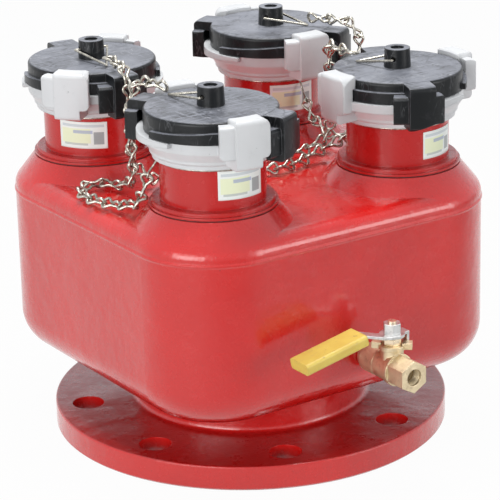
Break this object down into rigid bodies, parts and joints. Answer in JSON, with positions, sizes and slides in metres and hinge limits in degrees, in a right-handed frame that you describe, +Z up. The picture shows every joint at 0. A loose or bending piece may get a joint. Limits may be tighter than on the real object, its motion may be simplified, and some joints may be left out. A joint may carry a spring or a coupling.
{
  "type": "fire department connection",
  "caption": "Cast manifold on a round pipe flange with check-valved inlets, quarter-turn claw couplings, chained blank caps and a small ball drain valve.",
  "frame": {"origin": "centre of the flange's mating face", "axes": "+Z up along the flange's axis through the casting; -Y towards the side with the drain valve; -X towards the side that the drain valve's lever points to"},
  "size_m": [0.285, 0.3324, 0.2778],
  "materials": {
    "red_paint": "glossy red enamel over cast iron",
    "grey_coat": "pale grey coat over cast aluminium, satin",
    "black_plastic": "moulded black plastic, worn grey on top",
    "seal_rubber": "moulded black rubber",
    "dark_fibre": "dark fibre washer",
    "cast_brass": "cast brass",
    "turned_brass": "turned brass",
    "polished_ball": "polished chrome",
    "white_seal": "white fluoroplastic",
    "spring_steel": "drawn spring wire",
    "wire_steel": "zinc plated wire",
    "plated_steel": "zinc plated steel",
    "yellow_vinyl": "dipped yellow vinyl"
  },
  "bodies": {
    "manifold": {"casting": "red_paint", "neck_washers": "dark_fibre", "ring_gaskets": "seal_rubber", "neck_front": "red_paint", "neck_right": "red_paint", "neck_back": "red_paint", "neck_left": "red_paint", "guide_front": "cast_brass", "guide_right": "cast_brass", "guide_back": "cast_brass", "guide_left": "cast_brass", "coupling_front": "grey_coat", "coupling_right": "grey_coat", "coupling_back": "grey_coat", "coupling_left": "grey_coat", "chain_front": "wire_steel", "chain_right": "wire_steel", "chain_back": "wire_steel", "chain_left": "wire_steel", "drain_nipple": "turned_brass", "drain_end": "turned_brass", "drain_body": "turned_brass", "drain_seats": "white_seal", "drain_packing": "white_seal", "packing_nut": "turned_brass"},
    "blank_cap_front": {"cap_front": "black_plastic", "cap_gasket_front": "seal_rubber", "bail_front": "wire_steel"},
    "check_valve_front": {"valve_disc_front": "cast_brass", "valve_seat_front": "seal_rubber", "spindle_nut_front": "turned_brass", "spring_front": "spring_steel"},
    "blank_cap_right": {"cap_right": "black_plastic", "cap_gasket_right": "seal_rubber", "bail_right": "wire_steel"},
    "check_valve_right": {"valve_disc_right": "cast_brass", "valve_seat_right": "seal_rubber", "spindle_nut_right": "turned_brass", "spring_right": "spring_steel"},
    "blank_cap_back": {"cap_back": "black_plastic", "cap_gasket_back": "seal_rubber", "bail_back": "wire_steel"},
    "check_valve_back": {"valve_disc_back": "cast_brass", "valve_seat_back": "seal_rubber", "spindle_nut_back": "turned_brass", "spring_back": "spring_steel"},
    "blank_cap_left": {"cap_left": "black_plastic", "cap_gasket_left": "seal_rubber", "bail_left": "wire_steel"},
    "check_valve_left": {"valve_disc_left": "cast_brass", "valve_seat_left": "seal_rubber", "spindle_nut_left": "turned_brass", "spring_left": "spring_steel"},
    "drain_lever": {"lever": "plated_steel", "lever_sleeve": "yellow_vinyl", "lever_nut": "plated_steel", "drain_stem": "turned_brass", "drain_ball": "polished_ball"}
  },
  "joints": [
    {"name": "cap_turn_front", "type": "hinge", "parent": "manifold", "child": "blank_cap_front", "pos_m": [-0.0772, -0.0772, 0.257], "axis": [0, 0, 1], "range_deg": [0, 105]},
    {"name": "valve_lift_front", "type": "slide", "parent": "manifold", "child": "check_valve_front", "axis": [0, 0, -1], "range_m": [0, 0.014], "stiffness_N_per_m": 400, "springref_m": -0.02, "deforming": ["spring_front"]},
    {"name": "cap_turn_right", "type": "hinge", "parent": "manifold", "child": "blank_cap_right", "pos_m": [0.0772, -0.0772, 0.257], "axis": [0, 0, 1], "range_deg": [-35, 70]},
    {"name": "valve_lift_right", "type": "slide", "parent": "manifold", "child": "check_valve_right", "axis": [0, 0, -1], "range_m": [0, 0.014], "stiffness_N_per_m": 400, "springref_m": -0.02, "deforming": ["spring_right"]},
    {"name": "cap_turn_back", "type": "hinge", "parent": "manifold", "child": "blank_cap_back", "pos_m": [0.0772, 0.0772, 0.257], "axis": [0, 0, 1], "range_deg": [0, 105]},
    {"name": "valve_lift_back", "type": "slide", "parent": "manifold", "child": "check_valve_back", "axis": [0, 0, -1], "range_m": [0, 0.014], "stiffness_N_per_m": 400, "springref_m": -0.02, "deforming": ["spring_back"]},
    {"name": "cap_turn_left", "type": "hinge", "parent": "manifold", "child": "blank_cap_left", "pos_m": [-0.0772, 0.0772, 0.257], "axis": [0, 0, 1], "range_deg": [-6, 99]},
    {"name": "valve_lift_left", "type": "slide", "parent": "manifold", "child": "check_valve_left", "axis": [0, 0, -1], "range_m": [0, 0.014], "stiffness_N_per_m": 400, "springref_m": -0.02, "deforming": ["spring_left"]},
    {"name": "drain_turn", "type": "hinge", "parent": "manifold", "child": "drain_lever", "pos_m": [0.005, -0.1655, 0.1], "axis": [0, 0, 1], "range_deg": [0, 90]}
  ]
}
